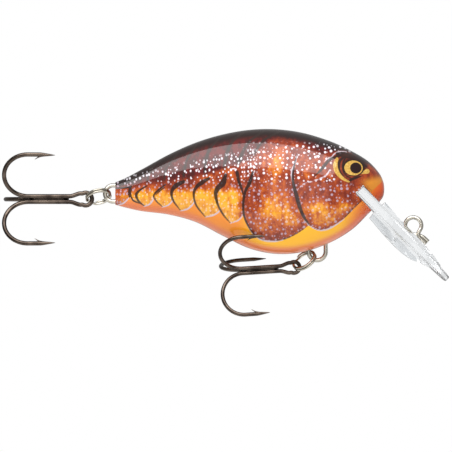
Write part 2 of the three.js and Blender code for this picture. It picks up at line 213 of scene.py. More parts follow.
def joined(*parts):
    """Several (points, faces) as one."""
    points, faces, start = [], [], 0
    for p, f in parts:
        points.append(p)
        faces += [tuple(i + start for i in face) for face in f]
        start += len(p)
    return np.concatenate(points), faces


def cut(obj, *tools):
    """Takes closed tool objects out of obj; the tools themselves are left in place."""
    for tool in tools:
        change = obj.modifiers.new("cut", "BOOLEAN")
        change.operation = "DIFFERENCE"
        change.solver = "EXACT"
        change.object = tool
    bpy.context.view_layer.update()
    result = bpy.data.meshes.new_from_object(obj.evaluated_get(bpy.context.evaluated_depsgraph_get()))
    obj.modifiers.clear()
    obj.data = result


# ---------------------------------------------------------------- materials
def rgb(code):
    """A linear colour from the usual six-digit code."""
    parts = [int(code[i:i + 2], 16) / 255 for i in (0, 2, 4)]
    return tuple(c / 12.92 if c <= 0.04045 else ((c + 0.055) / 1.055) ** 2.4 for c in parts) + (1.0,)


class Material:
    """A node material with one Principled shader and short calls for the nodes that feed it."""

    def __init__(self, name, **settings):
        self.material = bpy.data.materials.new(name)
        self.material.use_nodes = True
        self.tree = self.material.node_tree
        self.shader = self.tree.nodes["Principled BSDF"]
        for key, value in settings.items():
            self.shader.inputs[key.replace("_", " ")].default_value = value
        place = self.tree.nodes.new("ShaderNodeTexCoord").outputs["Object"]
        scale = self.tree.nodes.new("ShaderNodeVectorMath")
        scale.operation = "SCALE"
        scale.inputs["Scale"].default_value = 1000
        self.tree.links.new(place, scale.inputs[0])
        self.place = scale.outputs[0]

    def feed(self, socket, value):
        if isinstance(value, bpy.types.NodeSocket):
            self.tree.links.new(value, socket)
        else:
            socket.default_value = value

    def math(self, operation, a, b=0.0, c=0.0):
        node = self.tree.nodes.new("ShaderNodeMath")
        node.operation = operation
        for socket, value in zip(node.inputs, (a, b, c)):
            self.feed(socket, value)
        return node.outputs[0]

    def step(self, value, low, high, to_low=0.0, to_high=1.0):
        """Smoothly from to_low at low to to_high at high."""
        node = self.tree.nodes.new("ShaderNodeMapRange")
        node.interpolation_type = "SMOOTHSTEP"
        for socket, v in zip(node.inputs, (value, low, high, to_low, to_high)):
            self.feed(socket, v)
        return node.outputs[0]

    def mix(self, factor, a, b):
        node = self.tree.nodes.new("ShaderNodeMix")
        node.data_type = "RGBA"
        self.feed(node.inputs[0], factor)
        self.feed(node.inputs[6], a)
        self.feed(node.inputs[7], b)
        return node.outputs[2]

    def field(self, name):
        node = self.tree.nodes.new("ShaderNodeAttribute")
        node.attribute_name = name
        return node.outputs["Fac"]

    def noise(self, scale, detail=3.0, stretch=(1, 1, 1), roughness=0.5):
        node = self.tree.nodes.new("ShaderNodeTexNoise")
        node.inputs["Scale"].default_value = scale
        node.inputs["Detail"].default_value = detail
        node.inputs["Roughness"].default_value = roughness
        self.feed(node.inputs["Vector"], self.stretched(stretch))
        return node.outputs["Fac"]

    def stretched(self, stretch):
        if stretch == (1, 1, 1):
            return self.place
        node = self.tree.nodes.new("ShaderNodeVectorMath")
        node.operation = "MULTIPLY"
        self.tree.links.new(self.place, node.inputs[0])
        node.inputs[1].default_value = stretch
        return node.outputs[0]

    def cells(self, scale, stretch=(1, 1), randomness=1.0):
        """Distance to the nearest of points scattered over the side view, and two random numbers for each."""
        parts = self.tree.nodes.new("ShaderNodeSeparateXYZ")
        flat = self.tree.nodes.new("ShaderNodeCombineXYZ")
        self.tree.links.new(self.place, parts.inputs[0])
        self.feed(flat.inputs[0], self.math("MULTIPLY", parts.outputs[0], stretch[0]))
        self.feed(flat.inputs[1], self.math("MULTIPLY", parts.outputs[2], stretch[1]))
        node = self.tree.nodes.new("ShaderNodeTexVoronoi")
        node.voronoi_dimensions = "2D"
        node.inputs["Scale"].default_value = scale
        node.inputs["Randomness"].default_value = randomness
        self.feed(node.inputs["Vector"], flat.outputs[0])
        apart = self.tree.nodes.new("ShaderNodeSeparateColor")
        self.tree.links.new(node.outputs["Color"], apart.inputs[0])
        return node.outputs["Distance"], apart.outputs[0], apart.outputs[1]

    def ramp(self, value, *stops):
        node = self.tree.nodes.new("ShaderNodeValToRGB")
        marks = node.color_ramp.elements
        while len(marks) < len(stops):
            marks.new(0.5)
        for mark, (place, code) in zip(marks, stops):
            mark.position = place
            mark.color = rgb(code)
        self.feed(node.inputs[0], value)
        return node.outputs[0]

    def bump(self, height, strength, distance, into="Normal"):
        node = self.tree.nodes.new("ShaderNodeBump")
        node.inputs["Strength"].default_value = strength
        node.inputs["Distance"].default_value = distance
        self.feed(node.inputs["Height"], height)
        self.tree.links.new(node.outputs[0], self.shader.inputs[into])

    def into(self, name, value):
        self.feed(self.shader.inputs[name], value)


def wire_metal(name, dark, light, roughness):
    m = Material(name, Metallic=1.0)
    cloud = m.noise(0.35, 3.0)
    fine = m.noise(1.2, 3.0)
    m.into("Base Color", m.mix(m.step(cloud, 0.35, 0.65), rgb(dark), rgb(light)))
    m.into("Roughness", m.step(fine, 0.3, 0.7, roughness * 0.75, roughness * 1.3))
    m.bump(fine, 0.06, 0.00003)
    return m.material


def lip_plastic():
    m = Material("clear_polycarbonate", Roughness=0.02, IOR=1.58)
    m.shader.inputs["Transmission Weight"].default_value = 1.0
    m.into("Base Color", m.mix(m.noise(0.35, 2.0), rgb("f8f9fa"), rgb("eceff1")))
    m.bump(m.noise(0.25, 1.0), 0.04, 0.0003)
    return m.material


def body_paint():
    m = Material("lacquered_crayfish_paint", Roughness=0.45, IOR=1.5)
    m.shader.inputs["Specular IOR Level"].default_value = 0.12
    m.shader.inputs["Coat Weight"].default_value = 1.0
    m.shader.inputs["Coat Roughness"].default_value = 0.03
    m.shader.inputs["Coat IOR"].default_value = 1.42
    mottle = m.noise(0.9, 6.0, (1.25, 1.0, 0.7), 0.62)
    grain = m.noise(3.2, 4.0, roughness=0.6)
    # flank: red-brown to gold, led by the gold field and broken up by the two noises
    level = m.math("ADD", m.field("gold"), m.math("MULTIPLY_ADD", mottle, 1.5, -0.75))
    level = m.math("ADD", level, m.math("MULTIPLY_ADD", grain, 0.5, -0.25))
    flank = m.ramp(level, (0.0, "702514"), (0.25, "953a18"), (0.5, "b9581b"), (0.75, "da8a24"),
    (1.05, "f0ab33"))
    # round pale spots, each cell with its own size
    near, pick, size = m.cells(1.0, randomness=0.8)
    reach = m.math("MULTIPLY_ADD", size, 0.12, 0.13)
    spots = m.math("MULTIPLY", m.step(m.math("SUBTRACT", reach, near), -0.05, 0.05), m.step(pick, 0.12, 0.16))
    fine_near, fine_pick, fine_size = m.cells(1.7, (1.0, 0.8))
    fine_reach = m.math("MULTIPLY_ADD", fine_size, 0.2, 0.16)
    flecks = m.step(m.math("SUBTRACT", fine_reach, fine_near), -0.06, 0.08)
    flecks = m.math("MULTIPLY", flecks, m.step(m.math("ADD", fine_pick, mottle), 0.8, 0.86))
    small_near, small_pick, small_size = m.cells(1.45, (1.0, 1.0))
    small = m.step(m.math("SUBTRACT", m.math("MULTIPLY_ADD", small_size, 0.1, 0.07), small_near), -0.05, 0.05)
    small = m.math("MULTIPLY", small, m.step(small_pick, 0.45, 0.5, 0.0, 0.7))
    spots = m.math("MAXIMUM", spots, small)
    speck = m.math("MAXIMUM", m.math("MULTIPLY", spots, m.field("spots")),
                   m.math("MULTIPLY", flecks, m.field("flecks")))
    spot_paint_and_highlight = m.mix(m.step(m.field("gold"), 0.4, 0.9), rgb("b79fae"), rgb("edc6a4"))
    # painted highlight: the spots and flecks turn near white higher up the flank, where the overhead softbox
    # reflects, over their own lavender or cream
    spot_paint_and_highlight = m.mix(m.step(m.field("bright"), 0.2, 0.8), spot_paint_and_highlight, rgb("f1ecf4"))
    # back: near black at the top, burgundy below, with dark bands leaning forward
    wine = m.mix(m.step(mottle, 0.4, 0.6), rgb("43120f"), rgb("661612"))
    back = m.mix(m.step(m.field("drop"), 0.9, 2.4), rgb("221513"), wine)
    back = m.mix(m.step(m.field("band"), 0.12, -0.15, 0.0, 0.85), back, rgb("2b211d"))
    upper = m.step(m.math("ADD", m.field("back"), m.math("MULTIPLY_ADD", grain, 1.4, -0.7)), -0.5, 0.7)
    paint = m.mix(upper, flank, back)
    paint = m.mix(m.math("MULTIPLY", speck, 0.85), paint, spot_paint_and_highlight)
    # nose: golden orange under the dark back
    paint = m.mix(m.field("nose"), paint, rgb("d98a2c"))
    # belly: orange under the rear, yellow amidships, red at the chin, salmon along the keel
    belly = m.mix(m.field("yellow"), rgb("ee8c26"), rgb("fcb81c"))
    belly = m.mix(m.step(m.field("lift"), 1.9, 0.7), belly, rgb("e37c47"))
    belly = m.mix(m.field("chin"), belly, rgb("e0561f"))
    paint = m.mix(m.step(m.field("edge"), -0.06, 0.06), belly, paint)
    # drawn lines: pale ones under the dark ones
    paint = m.mix(m.step(m.field("pale"), 0.07, -0.06, 0.0, 0.95), paint, rgb("cdbfc8"))
    paint = m.mix(m.step(m.field("dark"), 0.06, -0.1, 0.0, 0.93), paint, rgb("201512"))
    # painted eye, in a dark surround
    paint = m.mix(m.step(m.field("socket"), 0.35, -0.35, 0.0, 0.92), paint, rgb("240c08"))
    gilt = m.mix(m.step(grain, 0.35, 0.65), rgb("b98c3c"), rgb("d6b05a"))
    paint = m.mix(m.step(m.field("eye_gold"), 0.06, -0.06), paint, gilt)
    paint = m.mix(m.step(m.field("eye_dark"), 0.06, -0.06), paint, rgb("1a0705"))
    paint = m.mix(m.step(m.field("pupil"), 0.05, -0.05), paint, rgb("1c0202"))
    m.into("Base Color", paint)
    m.bump(m.noise(0.8, 2.0), 0.1, 0.0001, "Coat Normal")
    return m.material


def inner_material(name, dark, light, metallic, roughness):
    m = Material(name, Metallic=metallic)
    m.into("Base Color", m.mix(m.noise(1.2, 4.0), rgb(dark), rgb(light)))
    m.into("Roughness", m.step(m.noise(4.0, 3.0), 0.3, 0.7, roughness * 0.8, roughness * 1.2))
    m.bump(m.noise(3.0, 4.0), 0.2, 0.00005)
    return m.material


def braze_metal():
    return wire_metal("braze_seam", "2b2522", "4c443e", 0.42)


# ---------------------------------------------------------------- paint layout on the flanks
# Each drawn line is a list of points (x, z) and its widths along the way. Both flanks carry the same layout.
LOBE_TIPS = [
    # left junction, left side, tip, right side, right junction
    [(2.65, -0.75), (3.3, -1.45), (4.5, -1.95)],
    [(4.5, -1.95), (5.4, -2.45)],
    [(5.4, -2.45), (6.3, -2.1), (6.9, -1.4), (7.15, -0.75)],
    [(7.15, -0.75), (7.8, -1.7), (8.8, -2.6)],
    [(8.8, -2.6), (9.8, -2.25), (10.5, -1.6), (10.75, -0.95)],
    [(10.75, -0.95), (11.2, -2.0), (12.2, -3.3)],
    [(12.2, -3.3), (13.4, -2.95), (14.3, -2.2), (14.75, -1.4)],
    [(14.75, -1.4), (15.3, -2.8), (16.8, -4.45)],
    [(16.8, -4.45), (18.2, -4.1), (19.2, -3.5), (19.45, -2.8)],
    [(19.45, -2.8), (20.1, -4.2), (21.4, -5.6)],
    [(21.4, -5.6), (22.8, -5.05), (23.7, -4.1)],
    [(23.7, -4.1), (24.6, -6.2), (25.9, -7.9), (27.5, -8.75), (29.4, -8.95), (31.4, -8.6), (33.4, -7.7),
     (35.3, -6.45), (35.9, -6.0)],
    [(35.9, -6.0), (36.9, -6.7), (38.2, -6.9), (39.7, -6.5), (41.6, -5.4), (43.2, -4.0), (44.8, -2.4),
     (46.5, -0.7)],
]
BACK_EDGE = [(-1, 0.9), (2, 1.0), (5, 1.6), (9, 2.0), (12.5, 2.4), (16.5, 3.2), (20, 4.2), (23, 5.2),
             (25.5, 6.6),
             (27.5, 8.6), (30, 9.8), (33, 9.4), (36, 8.2), (38, 7.1), (40, 7.2), (43, 7.4), (45.5, 5.6),
             (47.5, 4.9),
             (49.2, 3.9), (52, 3.2)]
BANDS = [
    ([(4.1, 4.2), (3.5, 2.7), (3.2, 1.2)], (0.3, 0.4, 0.4)),
    ([(7.4, 5.2), (6.4, 4.0), (6.0, 2.6), (5.7, 1.4)], (0.2, 0.5, 0.5, 0.3)),
    ([(11.6, 7.3), (10.1, 5.5), (9.3, 3.8), (9.1, 2.0)], (0.2, 0.5, 0.5, 0.3)),
    ([(15.1, 8.9), (13.7, 6.9), (13.0, 5.0), (12.6, 2.2)], (0.2, 0.5, 0.5, 0.4)),
    ([(19.4, 10.2), (17.7, 8.3), (16.9, 6.3), (16.5, 3.0)], (0.2, 0.6, 0.6, 0.4)),
    ([(24.0, 11.3), (21.9, 9.7), (20.9, 7.8), (20.3, 5.4), (20.2, 3.2)], (0.2, 0.6, 0.7, 0.7, 0.5)),
    ([(27.6, 11.5), (24.9, 9.5), (23.6, 7.4), (22.9, 5.4), (22.6, 3.2)], (0.2, 0.6, 0.7, 0.7, 0.5)),
    ([(30.6, 11.4), (27.5, 9.7), (26.2, 7.8), (25.7, 5.9), (25.5, 3.4)], (0.2, 0.5, 0.6, 0.6, 0.4)),
]
DARK_LINES = [
    ([(-0.5, 0.85), (1.4, 0.95), (2.7, 1.1)], (0.3, 0.3, 0.35)),
    ([(2.9, 1.2), (2.6, 0.3), (2.65, -0.7)], (0.4, 0.4, 0.3)),
    ([(3.2, 0.9), (2.85, -0.1), (3.3, -1.35), (4.6, -1.95)], (0.1, 0.2, 0.3, 0.15)),
    ([(5.9, 1.3), (4.7, 0.6), (3.95, -0.2), (4.05, -1.0), (4.6, -1.8),
      (5.4, -2.4)], (0.2, 0.3, 0.5, 0.4, 0.3, 0.12)),
    ([(9.4, 1.6), (8.1, 0.6), (7.3, -0.2), (7.2, -0.8), (7.8, -1.7),
      (8.8, -2.55)], (0.2, 0.3, 0.25, 0.3, 0.25, 0.12)),
    ([(9.2, 1.0), (8.3, 0.35), (7.6, -0.3)], (0.15, 0.2, 0.1)),
    ([(12.8, 2.1), (11.4, 1.4), (10.6, 0.5), (10.5, -0.6), (11.0, -1.8), (12.15, -3.25)],
     (0.5, 0.85, 0.6, 0.4, 0.3, 0.12)),
    ([(17.5, 2.7), (16.1, 1.9), (14.9, 0.8), (14.6, -0.6), (15.1, -2.4), (16.7, -4.4)],
     (0.4, 0.8, 0.5, 0.35, 0.3, 0.12)),
    ([(20.5, 3.4), (20.0, 1.8), (19.0, 0.8), (18.65, -0.4), (19.1, -2.3), (20.1, -4.1), (21.3, -5.5)],
     (0.4, 1.1, 0.9, 0.6, 0.35, 0.3, 0.12)),
    ([(22.6, 3.8), (22.9, 2.2), (23.4, 0.9), (23.75, -0.6)], (0.6, 0.5, 0.4, 0.1)),
    ([(25.5, 3.9), (24.9, 1.8), (24.1, 0.2), (23.75, -1.9), (23.9, -4.2), (24.7, -6.2), (25.9, -7.8),
      (27.6, -8.75)],
     (0.3, 0.65, 0.45, 0.4, 0.35, 0.28, 0.2, 0.1)),
    ([(29.4, -8.9), (31.4, -8.55), (33.4, -7.65), (35.2, -6.5)], (0.08, 0.16, 0.16, 0.1)),
    ([(33.7, 7.2), (33.2, 5.2), (32.9, 3.4), (33.0, 1.6), (33.55, -0.4), (34.15, -2.6), (35.0, -4.6),
      (36.1, -6.0)],
     (0.1, 0.25, 0.35, 0.5, 0.7, 0.65, 0.5, 0.2)),
    ([(36.7, 2.9), (37.9, 4.0), (38.8, 5.1), (39.7, 6.1), (40.8, 6.6), (42.0, 7.2), (43.4, 7.2)],
     (0.1, 0.4, 0.6, 0.45, 0.5, 0.8, 0.2)),
    ([(42.3, 6.6), (41.55, 5.8), (41.4, 4.8), (41.65, 3.7), (42.4, 2.7)], (0.3, 0.5, 0.45, 0.4, 0.25)),
    ([(43.0, 6.9), (42.35, 5.9), (42.15, 4.8), (42.4, 3.7), (43.1, 2.95),
      (44.1, 2.6)], (0.2, 0.25, 0.3, 0.25, 0.3, 0.2)),
    ([(43.2, 2.0), (43.9, 2.55), (44.8, 2.85), (45.8, 3.15)], (0.12, 0.5, 0.4, 0.1)),
    ([(41.0, 7.3), (42.5, 7.0), (44.0, 6.6), (45.6, 5.6), (46.6, 4.9)], (0.3, 1.1, 0.8, 0.5, 0.3)),
    ([(42.6, -4.5), (43.9, -3.0), (45.6, -1.5)], (0.1, 0.12, 0.1)),
]
PALE_LINES = [
    ([(0.5, -2.25), (1.6, -1.85), (2.55, -0.9)], (0.15, 0.28, 0.15)),
    ([(5.3, -2.5), (6.3, -2.15), (6.95, -1.4), (7.15, -0.8)], (0.15, 0.28, 0.28, 0.15)),
    ([(8.7, -2.65), (9.8, -2.3), (10.5, -1.65), (10.75, -1.0)], (0.15, 0.25, 0.25, 0.15)),
    ([(12.1, -3.35), (13.4, -3.0), (14.3, -2.25), (14.75, -1.5)], (0.15, 0.28, 0.28, 0.15)),
    ([(16.7, -4.5), (18.2, -4.15), (19.2, -3.5), (19.5, -2.9)], (0.15, 0.28, 0.28, 0.15)),
    ([(21.3, -5.65), (22.8, -5.1), (23.65, -4.2)], (0.15, 0.28, 0.2)),
    ([(24.0, -4.9), (25.2, -7.2), (26.6, -8.45), (28.2, -8.95), (30.0, -8.95), (31.6, -8.6)],
     (0.1, 0.2, 0.25, 0.3, 0.25, 0.1)),
    ([(33.8, 7.4), (33.3, 5.4), (32.75, 4.2), (32.75, 2.6), (33.05, 1.2),
      (33.6, -0.8)], (0.1, 0.3, 0.35, 0.35, 0.2, 0.1)),
    ([(34.4, -3.8), (35.2, -5.2), (36.5, -6.4), (38.2, -6.95), (40.0, -6.45), (42.5, -4.8)],
     (0.12, 0.28, 0.28, 0.28, 0.28, 0.15)),
    ([(33.9, 0.7), (34.9, 1.6), (36.2, 2.05), (37.6, 2.5), (38.9, 3.1), (39.5, 3.8), (39.7, 4.3)],
     (0.12, 0.25, 0.25, 0.25, 0.28, 0.25, 0.15)),
    ([(38.6, 5.7), (39.5, 6.4), (40.1, 6.6), (40.6, 7.2), (41.6, 7.65),
      (42.9, 7.65)], (0.1, 0.2, 0.2, 0.2, 0.2, 0.08)),
]
EYE_GOLD = [
    ([(41.1, 6.3), (40.75, 5.1), (41.1, 3.8), (42.0, 2.75), (43.3, 2.0)], (0.5, 0.85, 0.8, 0.6, 0.3)),
    ([(45.7, 3.6), (46.2, 3.8), (46.7, 4.0)], (0.2, 0.6, 0.9)),
]
SOCKET = (44.35, 4.95, 2.3, 1.75)
IRIS = (44.15, 4.6, 1.74, 1.4)
PUPIL = (44.58, 4.6, 1.08, 1.02)


def stroke_field(flat, strokes):
    """Distance from each point to the nearest edge of the drawn lines, negative inside them."""
    best = np.full(len(flat), 1e3)
    for points, widths in strokes:
        steps = 7 * (len(points) - 1)
        line = curve(points, steps)
        half = np.interp(np.linspace(0, 1, steps + 1), np.linspace(0, 1, len(widths)), widths) / 2
        for a, b, wa, wb in zip(line[:-1], line[1:], half[:-1], half[1:]):
            along = b - a
            t = np.clip((flat - a) @ along / (along @ along), 0, 1)
            away = np.linalg.norm(flat - a - t[:, None] * along, axis=1) - (wa + (wb - wa) * t)
            best = np.minimum(best, away)
    return best


def belly_edge_field(flat):
    """Signed distance to the lower edge of the flank pattern, positive above it."""
    runs = [curve([(-3, -2.6), (0.3, -2.3), (1.6, -1.8), (2.65, -0.75)], 18)]
    runs += [curve(run, 6 * (len(run) - 1)) for run in LOBE_TIPS]
    line = np.concatenate(runs + [[(60, 12)]])
    best = np.full(len(flat), 1e3)
    inside = np.zeros(len(flat), bool)
    loop = np.concatenate([line, [(60, 60), (-3, 60), line[0]]])
    x, z = flat[:, 0], flat[:, 1]
    for k, (a, b) in enumerate(zip(loop[:-1], loop[1:])):
        along = b - a
        if along @ along < 1e-9:
            continue
        if k < len(line) - 1:
            t = np.clip((flat - a) @ along / (along @ along), 0, 1)
            best = np.minimum(best, np.linalg.norm(flat - a - t[:, None] * along, axis=1))
        crosses = (a[1] > z) != (b[1] > z)
        if b[1] != a[1]:
            inside ^= crosses & (x < a[0] + (z - a[1]) * (b[0] - a[0]) / (b[1] - a[1]))
    return np.where(inside, best, -best)


def ellipse_field(flat, ellipse):
    cx, cz, rx, rz = ellipse
    return (np.hypot((flat[:, 0] - cx) / rx, (flat[:, 1] - cz) / rz) - 1) * min(rx, rz)


def blend_step(value, low, high):
    t = np.clip((value - low) / (high - low), 0, 1)
    return t * t * (3 - 2 * t)


def blob(flat, x, z, wide, high, lean=0.0):
    """A soft round patch, 1 in its middle."""
    dx = flat[:, 0] - x - lean * (flat[:, 1] - z)
    return np.exp(-((dx / wide) ** 2) - ((flat[:, 1] - z) / high) ** 2)


def gold_field(flat):
    """How golden the flank is, from 0 to 1."""
    x, z = flat[:, 0], flat[:, 1]
    tail = (1 - blend_step(z, -0.6, 1.4 + 0.03 * x)) * (1 - blend_step(x, 22.0, 24.5))
    tail = tail * (0.4 + 0.6 * blend_step(x, 1.5, 4.0))
    tail = tail + 0.35 * blob(flat, 17.5, 2.2, 1.6, 1.2) + 0.35 * blob(flat, 21.0, 4.0, 1.0, 2.0)
    streaks = sum(blob(flat, cx, 0.8, 0.75, 4.2, lean) for cx, lean in ((27.6, 0.02), (29.5, 0.05),
    (31.2, -0.12)))
    big = 0.26 * streaks + 0.5 * blob(flat, 30.0, 5.6, 1.8, 2.0) + 0.55 * blob(flat, 29.5, -3.0, 3.0, 2.2)
    big = big + 0.45 * blob(flat, 32.5, -5.0, 2.2, 1.6) + 0.2 * blob(flat, 27.0, -6.0, 2.5, 2.0)
    head = 0.55 * blob(flat, 37.6, -2.7, 2.9, 1.3) + 0.5 * blob(flat, 38.8, -4.9, 2.8, 1.4)
    head = head + 0.5 * blob(flat, 42.6, -2.6, 2.0, 1.2) + 0.25 * blob(flat, 35.6, 4.0, 1.2, 1.6)
    return np.clip(0.16 + tail * 0.72 + big + head, 0, 1.1)


def paint_fields(design):
    """Every paint field at points given in millimetres from the tail."""
    flat = design[:, [0, 2]]
    x, z = flat[:, 0], flat[:, 1]
    profile = curve(BODY_STATIONS, 400)
    edge = belly_edge_field(flat)
    back_line = curve(BACK_EDGE, 200)
    back = z - np.interp(x, back_line[:, 0], back_line[:, 1])
    upper_zone = blend_step(z, 1.0, 3.0) * (1 - blend_step(x, 25.0, 27.0))
    lap = 1 - blend_step(z - 0.22 * x, 1.6, 3.2)
    round_zone = blend_step(x, 23.5, 25.0) * (1 - blend_step(x, 44.0, 47.0)) * (1 - blend_step(z, 8.6, 9.6))
    tail_zone = (1 - blend_step(x, 23.0, 24.5)) * (1 - blend_step(z, 0.8, 2.6))
    reach = 1 - blend_step(np.hypot((x - 44.0) / 4.2, (z - 4.6) / 3.2), 0.85, 1.1)
    iris = ellipse_field(flat, IRIS)
    return {
        "edge": edge,
        "back": back,
        "lift": z - np.interp(x, profile[:, 0], profile[:, 2]),
        "drop": np.interp(x, profile[:, 0], profile[:, 1]) - z,
        "band": stroke_field(flat, BANDS),
        "dark": stroke_field(flat, DARK_LINES) - 0.05,
        "pale": stroke_field(flat, PALE_LINES),
        "gold": gold_field(flat),
        "spots": round_zone * (1 - reach),
        "flecks": np.clip(upper_zone * lap + 0.85 * tail_zone, 0, 1),
        # painted highlight: how far the spots and flecks are whitened, rising with height on the flank
        "bright": blend_step(z, 0.5, 3.5),
        "nose": blend_step(x + 0.6 * z, 46.0, 48.4) * (1 - blend_step(z - 0.25 * (x - 45.5), 1.3, 2.9)),
        "yellow": blend_step(x, 22.0, 27.0) * (1 - blend_step(x, 41.5, 46.0) * 0.8),
        "chin": blend_step(x - 0.55 * z, 44.5, 49.5),
        "socket": ellipse_field(flat, SOCKET),
        "eye_gold": np.minimum(iris, stroke_field(flat, EYE_GOLD)),
        "eye_dark": np.abs(iris - 0.1) - 0.1,
        "pupil": ellipse_field(flat, PUPIL),
    }


# ---------------------------------------------------------------- body
BODY_STEPS = 330
HALF_RING_STEPS = 84


def body_half(name, side):
    """One half of the body, with side 1 on the left and -1 on the right."""
    t = 1 - (1 - np.arange(BODY_STEPS) / BODY_STEPS) ** 1.15
    dense = curve(BODY_STATIONS, 20000)
    station = dense[np.round(t * 20000).astype(int)]
    angle = np.pi * (np.arange(HALF_RING_STEPS + 1) / HALF_RING_STEPS - 0.5)
    out = np.abs(np.cos(angle)) ** (2 / SECTION_POWER)
    out[0] = out[-1] = 0
    up = np.sign(np.sin(angle)) * np.abs(np.sin(angle)) ** (2 / SECTION_POWER)
    points = []
    for x, back, belly, half in station:
        middle, height = (back + belly) / 2, (back - belly) / 2
        width = side * max(half, 0)
        points.append(np.column_stack([np.full(len(out), x), width * out, middle + height * up]))
    points = np.concatenate(points + [[(50, 0, 0.7)]])
    sides = HALF_RING_STEPS + 1
    faces = skin_faces(BODY_STEPS, sides, capped=False)
    tip = len(points) - 1
    last = (BODY_STEPS - 1) * sides
    faces += [(last + j, last + (j + 1) % sides, tip) for j in range(sides)]
    faces.append(tuple(reversed(range(sides))))
    return make_object(name, points, faces)


def store_fields(obj):
    """Keeps every paint field on the object's vertices, for its material to read."""
    count = len(obj.data.vertices)
    points = np.empty(count * 3)
    obj.data.vertices.foreach_get("co", points)
    design = points.reshape(-1, 3) * 1000 + EYE_CENTRE
    for name, values in paint_fields(design).items():
        attribute = obj.data.attributes.new(name, "FLOAT", "POINT")
        attribute.data.foreach_set("value", values.astype(np.float32))


def slot_faces(obj):
    """Gives the slot's walls their own bare material, in the second slot of obj."""
    for face in obj.data.polygons:
        away = np.array(face.center) * 1000 + EYE_CENTRE - LIP_ROOT
        along, above = away @ LIP_ALONG, away @ LIP_UP
        if -0.2 < along < SLOT_LENGTH and abs(above) < LIP_THICKNESS / 2 + SLOT_CLEARANCE + 0.01:
            face.material_index = 1


def slot_cutter():
    """The slot that the lip's tongue fills, from side to side."""
    half = LIP_THICKNESS / 2 + SLOT_CLEARANCE
    corners = [(-0.12, -half), (SLOT_LENGTH, -half), (SLOT_LENGTH, half), (-0.12, half)]
    rings = [[on_lip(a, y, b) for a, b in corners] for y in (-SLOT_SIDE_REACH, SLOT_SIDE_REACH)]
    return make_object("slot", np.concatenate(rings), skin_faces(2, 4), smooth=False)


def sharp_edges(obj, degrees=35):
    """Marks edges sharper than an angle, so that smooth shading stops at them."""
    mesh = obj.data
    mesh.polygons.foreach_set("use_smooth", [True] * len(mesh.polygons))
    mesh.set_sharp_from_angle(angle=math.radians(degrees))


# ---------------------------------------------------------------- wires, rings and hooks
def harness_line():
    """The through wire: back above, round the tail loop, forward below and round the belly loop."""
    bottom = TAIL_LOOP[1] - TAIL_LOOP[2]
    elbow_x = BELLY_LOOP[0] - BELLY_LOOP[2] - HARNESS_ELBOW
    flat = np.concatenate([
        [(41.5, TAIL_LOOP[1] + TAIL_LOOP[2]), (20, TAIL_LOOP[1] + TAIL_LOOP[2])],
        arc(*TAIL_LOOP, 90, 270, 40),
        [(15, bottom)],
        arc(elbow_x, bottom - HARNESS_ELBOW, HARNESS_ELBOW, 90, 0, 14),
        arc(*BELLY_LOOP, 180, 360, 40),
        [(BELLY_LOOP[0] + BELLY_LOOP[2], -4.5)],
    ])
    return np.column_stack([flat[:, 0], np.zeros(len(flat)), flat[:, 1]])


def tie_line():
    """The line tie's wire: one tail, the eye's turn and the other tail."""
    along, above = TIE_CENTRE
    turn = arc(along, above, TIE_LOOP_RADIUS, -75, -350, 60)
    last = len(turn) - 1
    start = [on_lip(along + a, TIE_SPREAD, above + b)
             for a, b in ((4.1, -0.15), (3.0, -0.2), (2.0, -0.6), (1.2, -1.15))]
    loop = [on_lip(a, TIE_SPREAD * (1 - 2 * i / last), b) for i, (a, b) in enumerate(turn)]
    end = [on_lip(along + a, -TIE_SPREAD, above + b)
           for a, b in ((1.7, -0.35), (2.3, -0.7), (3.2, -0.78), (4.1, -0.78))]
    return curve(np.array(start + loop[::3] + end), 160)


def split_ring(near, pull, across):
    """Nearly two turns of flattened wire that step from one layer to the other, starting at near."""
    centre = near + pull * RING_RADIUS
    axis = unit(np.cross(pull, across))
    steps, sides = 150, 16
    around = 2 * np.pi * np.arange(sides) / sides
    wide = np.sign(np.cos(around)) * np.abs(np.cos(around)) ** 0.75 * RING_WIDTH / 2
    thick = np.sign(np.sin(around)) * np.abs(np.sin(around)) ** 0.75 * RING_WIRE / 2
    points = []
    for i in range(steps + 1):
        wound = 670 * i / steps
        rise = blend_step(wound, 315, 365) * 2 - 1
        angle = math.radians(70 + wound)
        out = pull * math.cos(angle) + across * math.sin(angle)
        end = min(1, 0.35 + 0.65 * min(i, steps - i) / 3)
        middle = centre + axis * RING_LAYER / 2 * rise
        points.append(middle + np.outer(RING_RADIUS + wide * end, out) - np.outer(thick * end, axis))
    return np.concatenate(points), skin_faces(steps + 1, sides)


def hook_way(angle):
    """Which way a hook stands off the shank, from straight down at 0."""
    return np.array([0, math.sin(math.radians(angle)), -math.cos(math.radians(angle))])


def hook_line(way):
    """The bend and the point of one hook."""
    reach = SHANK_OFFSET + 2 * HOOK_BEND_RADIUS
    start = HOOK_BEND_START
    bend = arc(start, SHANK_OFFSET + HOOK_BEND_RADIUS, HOOK_BEND_RADIUS, -90, 90, 60)
    tip = curve([(start, reach), (start - 2.2, reach - 0.02), (start - 3.6, reach - 0.08),
                 (start - HOOK_POINT_LENGTH, reach - 0.15)], 24)[1:]
    flat = np.concatenate([bend, tip])
    return flat[:, 1:] * way + flat[:, :1] * np.array([1.0, 0, 0])


def point_radius(to_tip):
    """The wire's radius at a distance from its needle point."""
    grown = np.clip(to_tip, 0, HOOK_POINT_TAPER) / HOOK_POINT_TAPER
    return HOOK_RADIUS * np.clip(0.06 + 0.94 * grown ** 0.8, 0, 1)


def barb(way):
    """A thin pointed tongue raised from the wire on the shank's side."""
    reach = SHANK_OFFSET + 2 * HOOK_BEND_RADIUS
    flat = curve([(HOOK_BEND_START - 2.9, reach - 0.2), (HOOK_BEND_START - 2.1, reach - 0.5),
                  (HOOK_BEND_START - 1.3, reach - 1.05)], 10)
    line = flat[:, 1:] * way + flat[:, :1] * np.array([1.0, 0, 0])
    return sweep(line, np.cross(way, [1, 0, 0]), np.linspace(0.24, 0.03, 11), 10)


